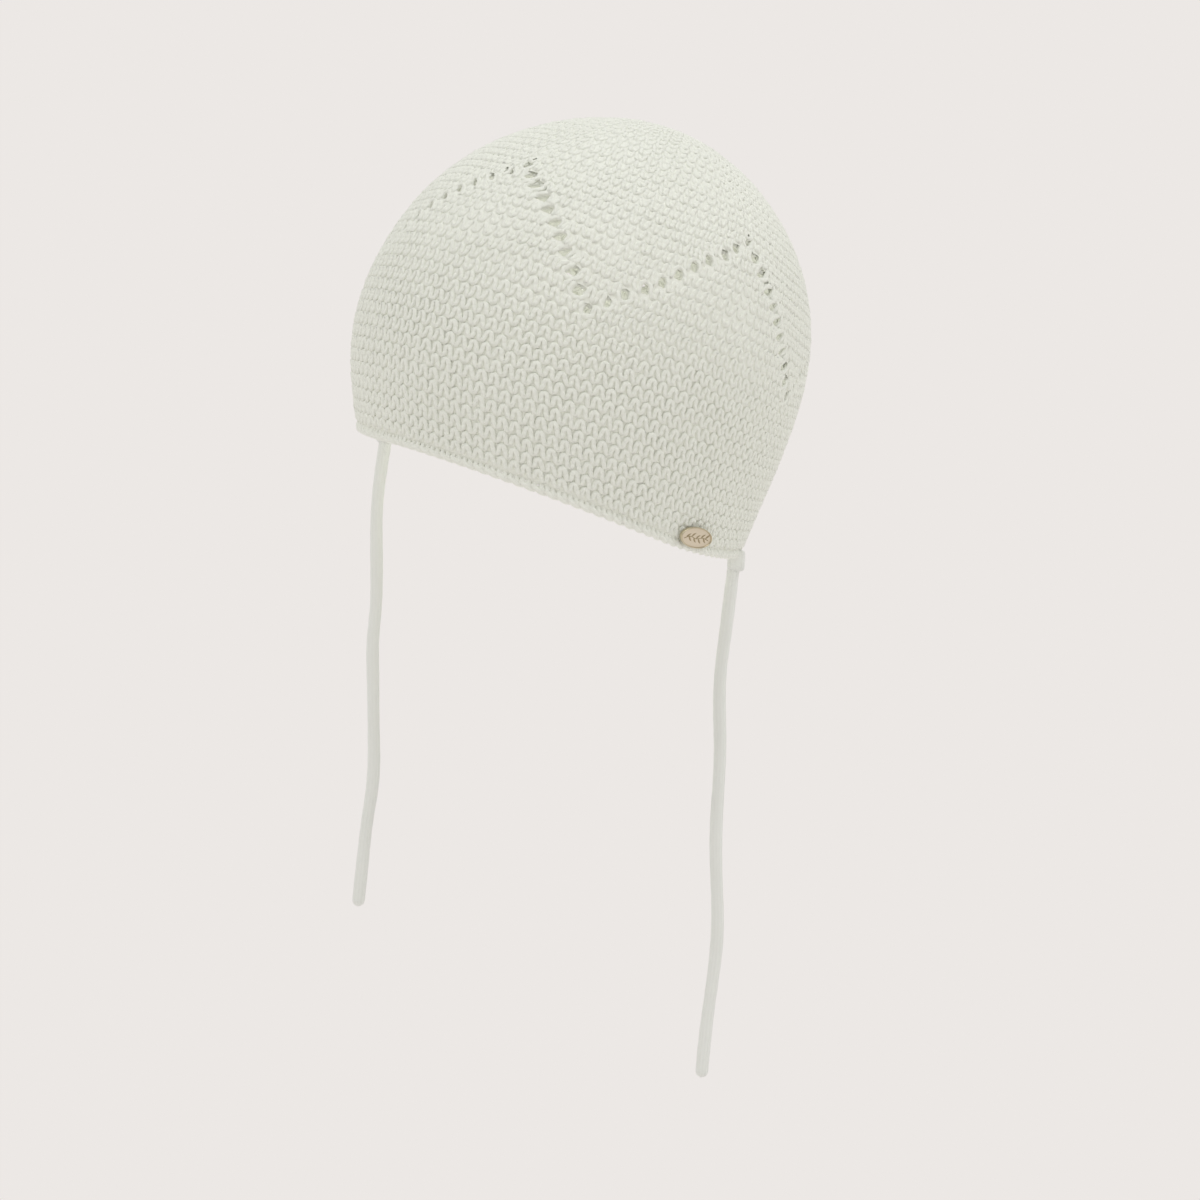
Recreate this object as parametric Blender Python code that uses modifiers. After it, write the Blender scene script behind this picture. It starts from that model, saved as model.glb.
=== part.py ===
"""Baby winter hat in garter stitch, with two hanging ties and a small oval badge.

The fabric is one hollow shell whose outer face is a surface of rings: each ring is a slightly
long oval, and the table of rings says how wide it is, how high it sits and how far it stands
to the side of the hem. Eyelets run round it in a zigzag of five Vs, so its crown is a star.
The hat sits tilted, as it does on a head that leans, and the ties hang straight down.
"""

import math

import bmesh
import bpy
import numpy as np
from mathutils import Matrix, Vector

# Sizes of the hat, in metres
BELLY_RADIUS = 0.0762      # mean radius of the outer face at the widest ring
CROWN_HEIGHT = 0.1340      # from the hem to the top of the crown, along the hat's own axis
LONG_TO_WIDE = 1.15        # an oval ring's length over its width
WALL = 0.0036              # thickness of the knitted fabric
HEM_WALL_SHARE = 0.60      # how thick the fabric still is at its rounded hem
HEM_RISE = 0.0110          # how much higher the hem sits on the side away from -Y

# How it sits, in degrees
SIDE_TILT = 16.15          # the hat's axis leans to +X
BACK_TILT = 1.1            # and a little to +Y
FRONT_TURN = -36.0         # where an oval ring is longest, turned from -Y towards +X
HEM_LOW_TURN = -6.0        # the middle of the part of the hem that stays level
HEM_RISE_FROM = 45.0       # how far from there the hem starts to rise
HEM_RISE_TO = 135.0        # and where it has risen all the way

# The knitting: ridges up the fabric and the eyelets
RIDGES = 44.4              # garter ridges from the hem to the top of the crown
REPEATS = 5                # Vs of eyelets round the hat
V_TURN = 5.4               # degrees from -Y to the bottom of the first V
V_RIDGE = 15.2             # ridge that the bottoms of the Vs lie on
LACE_STEPS = 10            # eyelets from the bottom of a V to its top, one for each ridge
EYELET_RIM = 0.00095       # fabric left round an eyelet inside its cell
LEAN_AT_V = -4.1           # degrees that the knitting leans by at the bottoms of the Vs
LEAN_AT_PEAK = -1.5        # and at their tops

# Rings of the outer face: share of the way up the fabric, radius over BELLY_RADIUS,
# height over CROWN_HEIGHT, and side step over BELLY_RADIUS
RINGS = (
    (0.000, 0.892, 0.000, 0.000),
    (0.125, 0.965, 0.159, -0.055),
    (0.250, 1.000, 0.321, -0.076),
    (0.375, 0.981, 0.485, -0.067),
    (0.500, 0.901, 0.642, -0.053),
    (0.625, 0.749, 0.780, -0.038),
    (0.750, 0.537, 0.890, -0.024),
    (0.875, 0.280, 0.964, -0.014),
    (1.000, 0.000, 1.000, -0.008),
)

# The rings that the shell is built on: ridges above the hem, and below the top
BAND_RIDGES = (0.0, 1.0, 4.0, 7.5, 11.0)
CROWN_RIDGES = (14.5, 11.5, 8.5, 5.5, 2.8)
LACE_COLUMNS = 2 * LACE_STEPS * REPEATS
PLAIN_COLUMNS = LACE_COLUMNS // 2

# The ties
TIE_DIAMETER = 0.0042
NEAR_TIE_TURN = 88.0       # degrees from -Y towards +X, where the tie is sewn to the hem
FAR_TIE_TURN = -107.2
NEAR_TIE_LENGTH = 0.1696
FAR_TIE_LENGTH = 0.1584
TAB_DEPTH = 0.0058         # the sewn tab of a tie, from inside the hat to outside
TAB_WIDTH = 0.0050         # along the hem
TAB_HEIGHT = 0.0040        # from the hem down, at its middle
TAB_ROUNDING = 0.0008
POINT_STEP = 2.3           # diameters from one point of a tie's path to the next
TIE_END = (                # its rounded end: drop over the radius, and share of the width
    (0.6, 0.80),
    (1.0, 0.45),
)
GAP = 0.0003               # clearance between pieces that touch

# Routes of the hanging ties: share of the length, and steps towards +X and +Y over the
# diameter, from the middle of the tab
NEAR_TIE_ROUTE = (
    (0.00, -0.19, 0.00),
    (0.05, -0.31, 0.05),
    (0.12, -0.48, 0.10),
    (0.20, -0.68, 0.15),
    (0.26, -0.63, 0.18),
    (0.35, -0.36, 0.10),
    (0.43, -0.30, -0.05),
    (0.50, -0.29, -0.12),
    (0.56, -0.18, -0.15),
    (0.63, 0.08, -0.10),
    (0.71, 0.32, 0.00),
    (0.79, 0.24, 0.10),
    (0.87, 0.00, 0.12),
    (0.95, -0.17, 0.08),
    (1.00, -0.23, 0.05),
)
FAR_TIE_ROUTE = (
    (0.00, 0.00, 0.00),
    (0.03, -0.11, -0.02),
    (0.08, -0.26, -0.06),
    (0.12, -0.33, -0.10),
    (0.17, -0.32, -0.14),
    (0.23, -0.18, -0.15),
    (0.30, -0.01, -0.10),
    (0.36, 0.05, -0.02),
    (0.43, -0.02, 0.05),
    (0.49, 0.11, 0.12),
    (0.56, 0.31, 0.16),
    (0.62, 0.48, 0.12),
    (0.69, 0.67, 0.04),
    (0.75, 0.65, -0.04),
    (0.81, 0.45, -0.08),
    (0.88, 0.30, -0.08),
    (1.00, 0.10, -0.02),
)

# The badge
BADGE_WIDTH = 0.0156
BADGE_HEIGHT = 0.0069
BADGE_THICKNESS = 0.0012
BADGE_RIM = 0.0007         # width of the raised edge
BADGE_DOME = 0.0003        # how far the middle rises over the foot of the edge
BADGE_BEVEL = 0.0002
BADGE_TURN = 50.7          # degrees from -Y towards +X
BADGE_RIDGE = 1.32         # ridge that its middle lies on
BADGE_ROLL = 3.9           # degrees that its right end is raised over the row


def new_scene():
    """An empty scene, with a collection for the parts."""
    for old in list(bpy.data.objects):
        bpy.data.objects.remove(old, do_unlink=True)
    parts = bpy.data.collections.new("baby_winter_hat")
    bpy.context.scene.collection.children.link(parts)
    return parts


def material(name, colour, roughness, metallic=0.0):
    """A Principled BSDF material."""
    made = bpy.data.materials.new(name)
    made.use_nodes = True
    shader = made.node_tree.nodes["Principled BSDF"]
    shader.inputs["Base Color"].default_value = (*colour, 1.0)
    shader.inputs["Roughness"].default_value = roughness
    shader.inputs["Metallic"].default_value = metallic
    made.diffuse_color = (*colour, 1.0)
    return made


def smooth_curve(at, values, wanted):
    """Natural cubic curve through the values, read where it is wanted."""
    at = np.asarray(at, float)
    values = np.asarray(values, float)
    step = np.diff(at)
    slope = np.diff(values) / step
    system = np.eye(len(at))
    right = np.zeros(len(at))
    for i in range(1, len(at) - 1):
        system[i, i - 1] = step[i - 1]
        system[i, i] = 2.0 * (step[i - 1] + step[i])
        system[i, i + 1] = step[i]
        right[i] = 6.0 * (slope[i] - slope[i - 1])
    bend = np.linalg.solve(system, right)
    i = int(np.clip(np.searchsorted(at, wanted) - 1, 0, len(at) - 2))
    a = at[i + 1] - wanted
    b = wanted - at[i]
    return float(
        (bend[i] * a**3 + bend[i + 1] * b**3) / (6.0 * step[i])
        + (values[i] / step[i] - bend[i] * step[i] / 6.0) * a
        + (values[i + 1] / step[i] - bend[i + 1] * step[i] / 6.0) * b
    )


def hat_axes():
    """Side, back and up directions of the tilted hat."""
    side_tilt = math.radians(SIDE_TILT)
    back_tilt = math.radians(BACK_TILT)
    up = Vector((
        math.sin(side_tilt) * math.cos(back_tilt),
        math.sin(back_tilt),
        math.cos(side_tilt) * math.cos(back_tilt),
    ))
    side = Vector((math.cos(side_tilt), 0.0, -math.sin(side_tilt)))
    return side, up.cross(side), up


def oval_table():
    """Share of an oval's length, measured from its long end, for each angle round it."""
    angle = np.linspace(-math.pi, math.pi, 361)
    x = np.sin(angle) / math.sqrt(LONG_TO_WIDE)
    y = -np.cos(angle) * math.sqrt(LONG_TO_WIDE)
    along = np.concatenate(([0.0], np.cumsum(np.hypot(np.diff(x), np.diff(y)))))
    return along / along[-1] - 0.5, angle


SIDE, BACK, UP = hat_axes()
OVAL_SHARE, OVAL_ANGLE = oval_table()


def hat_point(turn, ridge):
    """Point of the outer face. turn is in degrees from -Y towards +X, spread evenly along
    the fabric, and ridge counts garter ridges up from the hem."""
    share = min(max(ridge / RIDGES, 0.0), 1.0)
    shares, radii, heights, steps = zip(*RINGS)
    radius = smooth_curve(shares, radii, share) * BELLY_RADIUS
    height = smooth_curve(shares, heights, share) * CROWN_HEIGHT
    step = smooth_curve(shares, steps, share) * BELLY_RADIUS
    low = (1.0 - share) ** 2
    away = abs((turn - HEM_LOW_TURN + 180.0) % 360.0 - 180.0)
    risen = min(max((away - HEM_RISE_FROM) / (HEM_RISE_TO - HEM_RISE_FROM), 0.0), 1.0)
    height += HEM_RISE * risen * risen * (3.0 - 2.0 * risen) * low
    front = math.radians(turn - FRONT_TURN)
    round_share = (front / (2.0 * math.pi) + 0.5) % 1.0 - 0.5
    angle = float(np.interp(round_share, OVAL_SHARE, OVAL_ANGLE))
    across = radius * math.sin(angle) / math.sqrt(LONG_TO_WIDE)
    along = -radius * math.cos(angle) * math.sqrt(LONG_TO_WIDE)
    cos_front = math.cos(math.radians(FRONT_TURN))
    sin_front = math.sin(math.radians(FRONT_TURN))
    x = cos_front * across - sin_front * along + step
    y = sin_front * across + cos_front * along
    return SIDE * x + BACK * y + UP * height


def leaned(turn, ridge):
    """The turn of a wale that starts at this turn: the knitting leans a little on the side
    of the hat where the first V ends."""
    climb = (ridge - V_RIDGE) / LACE_STEPS
    if climb < 0.0:
        lean = LEAN_AT_V * max(ridge / V_RIDGE, 0.0)
    else:
        lean = LEAN_AT_V + (LEAN_AT_PEAK - LEAN_AT_V) * min(climb, 1.4)
    return turn + lean * (1.0 + math.sin(math.radians(turn - V_TURN)))


def hat_frame(turn, ridge):
    """Point of the outer face with the directions along the row, up the fabric and out."""
    here = hat_point(turn, ridge)
    along = (hat_point(turn + 0.5, ridge) - hat_point(turn - 0.5, ridge)).normalized()
    upwards = (hat_point(turn, ridge + 0.25) - hat_point(turn, max(ridge - 0.25, 0.0))).normalized()
    out = along.cross(upwards).normalized()
    return here, along, out.cross(along), out


def add_ring(mesh, turns, ridge):
    """A ring of vertices round the hat."""
    return [mesh.verts.new(hat_point(leaned(turn, ridge), ridge)) for turn in turns]


def join_rings(mesh, lower, upper):
    """Faces between two rings, where one may have twice the columns of the other."""
    made = []
    if len(lower) == len(upper):
        for i in range(len(lower)):
            j = (i + 1) % len(lower)
            made.append(mesh.faces.new((lower[i], lower[j], upper[j], upper[i])))
        return made
    few, many = sorted((lower, upper), key=len)
    for i in range(len(few)):
        j = (i + 1) % len(few)
        middle = many[2 * i + 1]
        corners = (
            (few[i], few[j], middle),
            (few[i], middle, many[2 * i]),
            (few[j], many[(2 * i + 2) % len(many)], middle),
        )
        for face in corners:
            made.append(mesh.faces.new(face if few is lower else face[::-1]))
    return made


def column_turns(columns):
    """Turns of the grid lines of a ring. A cell of the lace grid has its middle on the
    bottom of each V."""
    cell = 360.0 / LACE_COLUMNS
    return [V_TURN - cell / 2.0 + 360.0 * i / columns for i in range(columns)]


def is_eyelet(column, step):
    """Whether the lace cell in this column holds an eyelet, step cells above a V's bottom."""
    from_bottom = column % (2 * LACE_STEPS)
    return step in (from_bottom, 2 * LACE_STEPS - from_bottom)


def build_knit(parts, look):
    """The hollow knitted body: rings joined into the outer face, eyelets left open, then
    given its wall."""
    mesh = bmesh.new()
    lower = None
    for ridge in BAND_RIDGES:
        ring = add_ring(mesh, column_turns(PLAIN_COLUMNS), ridge)
        if lower:
            join_rings(mesh, lower, ring)
        lower = ring
    eyelets = []
    for step in range(-1, LACE_STEPS + 1):
        ring = add_ring(mesh, column_turns(LACE_COLUMNS), V_RIDGE + step + 0.5)
        cells = join_rings(mesh, lower, ring)
        if step >= 0:
            eyelets += [cell for i, cell in enumerate(cells) if is_eyelet(i, step)]
        lower = ring
    for below_top in CROWN_RIDGES:
        ring = add_ring(mesh, column_turns(PLAIN_COLUMNS), RIDGES - below_top)
        join_rings(mesh, lower, ring)
        lower = ring
    top = mesh.verts.new(hat_point(0.0, RIDGES))
    for i, vertex in enumerate(lower):
        mesh.faces.new((vertex, lower[(i + 1) % len(lower)], top))
    mesh.normal_update()
    bmesh.ops.inset_individual(mesh, faces=eyelets, thickness=EYELET_RIM, use_even_offset=True)
    bmesh.ops.delete(mesh, geom=eyelets, context="FACES_ONLY")
    data = bpy.data.meshes.new("hat_knit")
    mesh.to_mesh(data)
    mesh.free()
    data.shade_smooth()
    data.materials.append(look)
    knit = bpy.data.objects.new("hat_knit", data)
    parts.objects.link(knit)
    full = knit.vertex_groups.new(name="full_wall")
    full.add(list(range(PLAIN_COLUMNS, len(data.vertices))), 1.0, "REPLACE")
    wall = knit.modifiers.new("wall", "SOLIDIFY")
    wall.thickness = WALL
    wall.offset = -1.0
    wall.use_even_offset = True
    wall.use_rim = True
    wall.vertex_group = full.name
    wall.thickness_vertex_group = HEM_WALL_SHARE
    return knit


def build_tab(parts, name, turn, look):
    """The sewn tab that a tie starts from: a small block under the hem, its top slanted
    like the hem and its bottom level. Returns the middle of that bottom."""
    here, along, upwards, out = hat_frame(turn, 0.0)
    middle = here - out * (WALL * HEM_WALL_SHARE / 2.0)
    outwards = Vector((out.x, out.y, 0.0)).normalized()
    sideways = Vector((outwards.y, -outwards.x, 0.0))
    mesh = bmesh.new()
    bmesh.ops.create_cube(mesh, size=1.0)
    bottom = -TAB_HEIGHT
    for corner in mesh.verts:
        level = sideways * (corner.co.x * TAB_WIDTH) + outwards * (corner.co.y * TAB_DEPTH)
        hem = -(upwards.x * level.x + upwards.y * level.y) / upwards.z
        top = hem - GAP / upwards.z
        corner.co = level + Vector((0.0, 0.0, top if corner.co.z > 0.0 else bottom))
    data = bpy.data.meshes.new(name)
    mesh.to_mesh(data)
    mesh.free()
    data.shade_smooth()
    data.materials.append(look)
    tab = bpy.data.objects.new(name, data)
    parts.objects.link(tab)
    tab.location = middle
    rounding = tab.modifiers.new("rounding", "BEVEL")
    rounding.width = TAB_ROUNDING
    rounding.segments = 2
    return middle + Vector((0.0, 0.0, bottom))


def build_tie(parts, name, start, length, route, look):
    """A round jersey tie: a tube that leaves its tab and hangs straight down, with the
    slight waves that a soft cord keeps and a rounded end."""
    radius = TIE_DIAMETER / 2.0
    shares, to_x, to_y = zip(*route)
    straight = length - radius
    count = max(8, round(straight / (POINT_STEP * TIE_DIAMETER)))
    points = []
    for i in range(count + 1):
        share = i / count
        step = Vector((
            smooth_curve(shares, to_x, share) * TIE_DIAMETER,
            smooth_curve(shares, to_y, share) * TIE_DIAMETER,
            -GAP - share * straight,
        ))
        points.append((start + step, 1.0))
    end = points[-1][0]
    for drop, width in TIE_END:
        points.append((end + Vector((0.0, 0.0, -radius * drop)), width))
    curve = bpy.data.curves.new(name, "CURVE")
    curve.dimensions = "3D"
    curve.bevel_depth = radius
    curve.bevel_resolution = 2
    curve.use_fill_caps = True
    spline = curve.splines.new("POLY")
    spline.points.add(len(points) - 1)
    for point, (place, width) in zip(spline.points, points):
        point.co = (*place, 1.0)
        point.radius = width
    spline.use_smooth = True
    curve.materials.append(look)
    tie = bpy.data.objects.new(name, curve)
    parts.objects.link(tie)


def build_badge(parts, look):
    """A small oval plate, turned from its section and then made oval: a raised edge round
    a slightly domed middle."""
    radius = BADGE_HEIGHT / 2.0
    inside = radius - BADGE_RIM
    foot = BADGE_THICKNESS * 0.6
    section = (
        (0.0, 0.0),
        (radius - BADGE_BEVEL, 0.0),
        (radius, BADGE_BEVEL),
        (radius, BADGE_THICKNESS - BADGE_BEVEL),
        (radius - BADGE_BEVEL, BADGE_THICKNESS),
        (inside + BADGE_BEVEL, BADGE_THICKNESS),
        (inside, foot),
        (inside * 0.55, foot + BADGE_DOME * 0.7),
        (0.0, foot + BADGE_DOME),
    )
    data = bpy.data.meshes.new("badge")
    points = [(x, 0.0, z) for x, z in reversed(section)]
    data.from_pydata(points, [(i, i + 1) for i in range(len(points) - 1)], [])
    badge = bpy.data.objects.new("badge", data)
    parts.objects.link(badge)
    turned = badge.modifiers.new("turned", "SCREW")
    turned.steps = 24
    turned.render_steps = 24
    turned.use_merge_vertices = True
    turned.merge_threshold = 0.00001
    here, along, upwards, out = hat_frame(leaned(BADGE_TURN, BADGE_RIDGE), BADGE_RIDGE)
    place = Matrix((along, upwards, out)).transposed().to_4x4()
    place = place @ Matrix.Rotation(math.radians(BADGE_ROLL), 4, "Z")
    stretch = Matrix.Diagonal((BADGE_WIDTH / BADGE_HEIGHT, 1.0, 1.0, 1.0))
    badge.matrix_world = Matrix.Translation(here + out * GAP) @ place @ stretch
    data.materials.append(look)
    return badge


def main():
    parts = new_scene()
    knit_look = material("cream_garter_knit", (0.82, 0.81, 0.74), 0.95)
    tie_look = material("cream_jersey", (0.80, 0.80, 0.73), 0.92)
    badge_look = material("pale_gold", (0.83, 0.69, 0.50), 0.30, 1.0)
    build_knit(parts, knit_look)
    near = build_tab(parts, "near_tie_tab", NEAR_TIE_TURN, tie_look)
    far = build_tab(parts, "far_tie_tab", FAR_TIE_TURN, tie_look)
    build_tie(parts, "near_tie", near, NEAR_TIE_LENGTH, NEAR_TIE_ROUTE, tie_look)
    build_tie(parts, "far_tie", far, FAR_TIE_LENGTH, FAR_TIE_ROUTE, tie_look)
    build_badge(parts, badge_look)


main()
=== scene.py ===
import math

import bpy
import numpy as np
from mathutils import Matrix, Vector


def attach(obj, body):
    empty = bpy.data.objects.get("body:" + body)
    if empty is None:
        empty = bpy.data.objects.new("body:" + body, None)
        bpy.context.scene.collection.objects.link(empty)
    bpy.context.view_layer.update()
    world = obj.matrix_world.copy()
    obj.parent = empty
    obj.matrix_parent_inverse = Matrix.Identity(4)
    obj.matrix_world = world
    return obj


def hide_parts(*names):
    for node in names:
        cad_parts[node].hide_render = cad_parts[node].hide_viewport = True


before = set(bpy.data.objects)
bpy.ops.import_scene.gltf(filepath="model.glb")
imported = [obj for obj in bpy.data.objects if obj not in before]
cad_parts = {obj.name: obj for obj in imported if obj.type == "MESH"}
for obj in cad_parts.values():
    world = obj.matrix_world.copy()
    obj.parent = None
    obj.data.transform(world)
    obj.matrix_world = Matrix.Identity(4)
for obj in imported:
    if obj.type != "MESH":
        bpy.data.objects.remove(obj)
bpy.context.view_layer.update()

# %% [markdown]
# # A baby's winter hat in garter stitch
#
# The hat is knitted in soft cream cotton. Its whole look comes from the stitches: rows of
# little arches that lock into each other, a zigzag of eyelets that makes a star on the crown,
# and two thin jersey ties that hang from the hem. So this scene knits the hat: it works out
# the path of the yarn, loop by loop, as arrays of points, and carries a round section along it.
#
# All sizes are in metres. The frame from the solid model comes first, and nothing in it moves.

BODY = "root"
rng = np.random.default_rng(44)

# %% [markdown]
# ## Where the camera stands
#
# The picture is taken level, from straight in front, with a long lens, and the camera is
# rolled a little: both ties hang plumb, yet in the picture they lean by the same few degrees.
# A camera's own axes are the columns of its matrix, so the roll is written into them.

# %% The camera
CAMERA_PLACE = (0.0198, -0.800, -0.0292)
CAMERA_ROLL = 3.55         # degrees
LENS = 72.0                # millimetres
SENSOR = 36.0              # its width in millimetres

def place_camera():
    """Level camera that looks along +Y, rolled about its own line of sight."""
    roll = math.radians(CAMERA_ROLL)
    right = Vector((math.cos(roll), 0.0, math.sin(roll)))
    up = Vector((-math.sin(roll), 0.0, math.cos(roll)))
    lens = bpy.data.cameras.new("camera")
    lens.lens = LENS
    lens.sensor_width = SENSOR
    lens.clip_start = 0.01
    camera = bpy.data.objects.new("camera", lens)
    bpy.context.scene.collection.objects.link(camera)
    axes = Matrix((right, up, Vector((0.0, -1.0, 0.0)))).transposed()
    camera.matrix_world = Matrix.Translation(CAMERA_PLACE) @ axes.to_4x4()
    bpy.context.scene.camera = camera

place_camera()
print("camera at", CAMERA_PLACE, "with a lens of", LENS, "mm, rolled by", CAMERA_ROLL, "degrees")

# %% [markdown]
# ## The face of the fabric
#
# Every stitch has to sit on the same surface as the solid hat, so that surface is written here
# as a function of two numbers: the turn round the hat in degrees, and the ridge, which counts
# the rows of garter stitch up from the hem. The rings of the table are slightly long ovals.
# A natural cubic curve runs through the table, which keeps the dome free of bands.

# %% Sizes of the hat, as in the solid model
BELLY_RADIUS = 0.0762      # mean radius of the widest ring
CROWN_HEIGHT = 0.1340
LONG_TO_WIDE = 1.15        # of the oval of a head
HEM_RISE = 0.0110          # how much higher the hem lies away from the camera
SIDE_TILT = 16.15          # degrees that the hat leans to the side
BACK_TILT = 1.1            # and backwards
FRONT_TURN = -36.0         # turns are degrees round the hat; the oval's front
HEM_LOW_TURN = -6.0        # the lowest place of the hem
HEM_RISE_FROM = 45.0       # degrees from there where it starts to rise
HEM_RISE_TO = 135.0        # and where it has risen
RIDGES = 44.4              # from the hem to the middle of the crown
REPEATS = 5                # of the zigzag, round the hat
V_TURN = 5.4               # bottom of the V that faces the camera
V_RIDGE = 15.2
LACE_STEPS = 10            # ridges from the bottom of a V to its tips
LEAN_AT_V = -4.1           # degrees that the columns of stitches have turned at the V's bottom
LEAN_AT_PEAK = -1.5        # and at its tips
LEAN_END = 1.4             # heights of the zigzag over its bottom: above that the lean stays
RINGS = np.array((         # share of the way up, radius, height, side step, as shares of sizes
    (0.000, 0.892, 0.000, 0.000),
    (0.125, 0.965, 0.159, -0.055),
    (0.250, 1.000, 0.321, -0.076),
    (0.375, 0.981, 0.485, -0.067),
    (0.500, 0.901, 0.642, -0.053),
    (0.625, 0.749, 0.780, -0.038),
    (0.750, 0.537, 0.890, -0.024),
    (0.875, 0.280, 0.964, -0.014),
    (1.000, 0.000, 1.000, -0.008),
))

# %% A smooth curve through a table
def smooth_curve(at, values, wanted):
    """Natural cubic curve through the values: its second derivative is nought at both ends and
    runs straight between the points. It is read at every wanted place at once."""
    at, values, wanted = (np.asarray(each, float) for each in (at, values, wanted))
    step = np.diff(at)
    slope = np.diff(values) / step
    system = np.eye(len(at))
    right = np.zeros(len(at))
    for i in range(1, len(at) - 1):
        system[i, i - 1:i + 2] = step[i - 1], 2.0 * (step[i - 1] + step[i]), step[i]
        right[i] = 6.0 * (slope[i] - slope[i - 1])
    bend = np.linalg.solve(system, right)
    i = np.clip(np.searchsorted(at, wanted) - 1, 0, len(at) - 2)
    before, after, width = at[i + 1] - wanted, wanted - at[i], step[i]
    return (
        (bend[i] * before**3 + bend[i + 1] * after**3) / (6.0 * width)
        + (values[i] / width - bend[i] * width / 6.0) * before
        + (values[i + 1] / width - bend[i + 1] * width / 6.0) * after
    )

# %% The surface itself
def hat_axes():
    """Side, back and up directions of the tilted hat, as rows."""
    side_tilt, back_tilt = math.radians(SIDE_TILT), math.radians(BACK_TILT)
    up = np.array((
        math.sin(side_tilt) * math.cos(back_tilt),
        math.sin(back_tilt),
        math.cos(side_tilt) * math.cos(back_tilt),
    ))
    side = np.array((math.cos(side_tilt), 0.0, -math.sin(side_tilt)))
    return side, np.cross(up, side), up

SIDE, BACK, UP = hat_axes()
OVAL_ANGLE = np.linspace(-math.pi, math.pi, 361)
OVAL_X = np.sin(OVAL_ANGLE) / math.sqrt(LONG_TO_WIDE)
OVAL_Y = -np.cos(OVAL_ANGLE) * math.sqrt(LONG_TO_WIDE)
OVAL_ALONG = np.concatenate(([0.0], np.cumsum(np.hypot(np.diff(OVAL_X), np.diff(OVAL_Y)))))
OVAL_SHARE = OVAL_ALONG / OVAL_ALONG[-1] - 0.5

def ring_size(column, ridge):
    """A column of the table of rings, read on its smooth curve at this ridge."""
    return smooth_curve(RINGS[:, 0], RINGS[:, column], np.clip(ridge / RIDGES, 0.0, 1.0))

def ring_radius(ridge):
    """Mean radius of the hat's ring at this ridge."""
    return ring_size(1, ridge) * BELLY_RADIUS

def wrapped(turn):
    """The same turn between -180 and 180 degrees."""
    return (turn + 180.0) % 360.0 - 180.0

def hat_point(turn, ridge):
    """Points of the outer face: an oval ring whose radius, height and side step come from the
    table, walked evenly along its length, with the hem raised away from the camera."""
    turn, ridge = np.broadcast_arrays(np.asarray(turn, float), np.asarray(ridge, float))
    share = np.clip(ridge / RIDGES, 0.0, 1.0)
    radius = ring_radius(ridge)
    height = ring_size(2, ridge) * CROWN_HEIGHT
    step = ring_size(3, ridge) * BELLY_RADIUS
    away = np.abs(wrapped(turn - HEM_LOW_TURN))
    risen = np.clip((away - HEM_RISE_FROM) / (HEM_RISE_TO - HEM_RISE_FROM), 0.0, 1.0)
    height = height + HEM_RISE * risen**2 * (3.0 - 2.0 * risen) * (1.0 - share) ** 2
    round_share = ((turn - FRONT_TURN) / 360.0 + 0.5) % 1.0 - 0.5
    angle = np.interp(round_share, OVAL_SHARE, OVAL_ANGLE)
    across = radius * np.sin(angle) / math.sqrt(LONG_TO_WIDE)
    along = -radius * np.cos(angle) * math.sqrt(LONG_TO_WIDE)
    cos_front, sin_front = math.cos(math.radians(FRONT_TURN)), math.sin(math.radians(FRONT_TURN))
    x = cos_front * across - sin_front * along + step
    y = sin_front * across + cos_front * along
    return x[..., None] * SIDE + y[..., None] * BACK + height[..., None] * UP

def leaned(turn, ridge):
    """Turn of a wale that starts at this turn, because the knitting leans a little."""
    climb = (np.asarray(ridge, float) - V_RIDGE) / LACE_STEPS
    below = LEAN_AT_V * np.maximum(np.asarray(ridge, float) / V_RIDGE, 0.0)
    above = LEAN_AT_V + (LEAN_AT_PEAK - LEAN_AT_V) * np.minimum(climb, LEAN_END)
    lean = np.where(climb < 0.0, below, above)
    return turn + lean * (1.0 + np.sin(np.radians(turn - V_TURN)))

def unit(vectors):
    """Vectors shortened or stretched to length one."""
    return vectors / np.maximum(np.linalg.norm(vectors, axis=-1, keepdims=True), 1e-12)

SMALL_TURN = 0.5           # degrees and ridges of the small steps that find directions
SMALL_CLIMB = 0.25

def hat_frame(turn, ridge):
    """Points of the outer face with the directions along the row, up the fabric and out, from
    small steps to each side."""
    ridge = np.asarray(ridge, float)
    here = hat_point(turn, ridge)
    along = unit(hat_point(turn + SMALL_TURN, ridge) - hat_point(turn - SMALL_TURN, ridge))
    lower = np.maximum(ridge - SMALL_CLIMB, 0.0)
    upwards = unit(hat_point(turn, ridge + SMALL_CLIMB) - hat_point(turn, lower))
    out = unit(np.cross(along, upwards))
    return here, along, np.cross(out, along), out

RIDGE_PITCH = float(np.linalg.norm(hat_point(0.0, 12.0) - hat_point(0.0, 11.0)))
print("near the widest ring, one ridge climbs", round(1000 * RIDGE_PITCH, 2), "mm")

# %% [markdown]
# ## Meshes from arrays
#
# All pieces here are grids of points: a row of sections, each with the same number of points,
# joined to the next. One function turns such a grid into a mesh. A yarn that runs round the
# hat closes both ways, like a ring; a tie closes only round its section and needs caps. The
# point numbers are worked out as arrays, and foreach_set hands them over in one go. A curve
# object with a bevel would be simpler, but its section turns as it likes, and a yarn's flat
# side has to lie in the fabric.

# %% Grids of points into meshes
def grid_faces(rows, columns, wrap_rows, first):
    """Corner numbers of the quads of a grid of rows by columns, closed round the columns and,
    if wrap_rows, also from the last row to the first."""
    row = np.arange(rows if wrap_rows else rows - 1)[:, None]
    column = np.arange(columns)[None, :]
    next_row, next_column = (row + 1) % rows, (column + 1) % columns
    corners = (
        row * columns + column,
        row * columns + next_column,
        next_row * columns + next_column,
        next_row * columns + column,
    )
    return first + np.stack(np.broadcast_arrays(*corners), -1).reshape(-1, 4)

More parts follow.
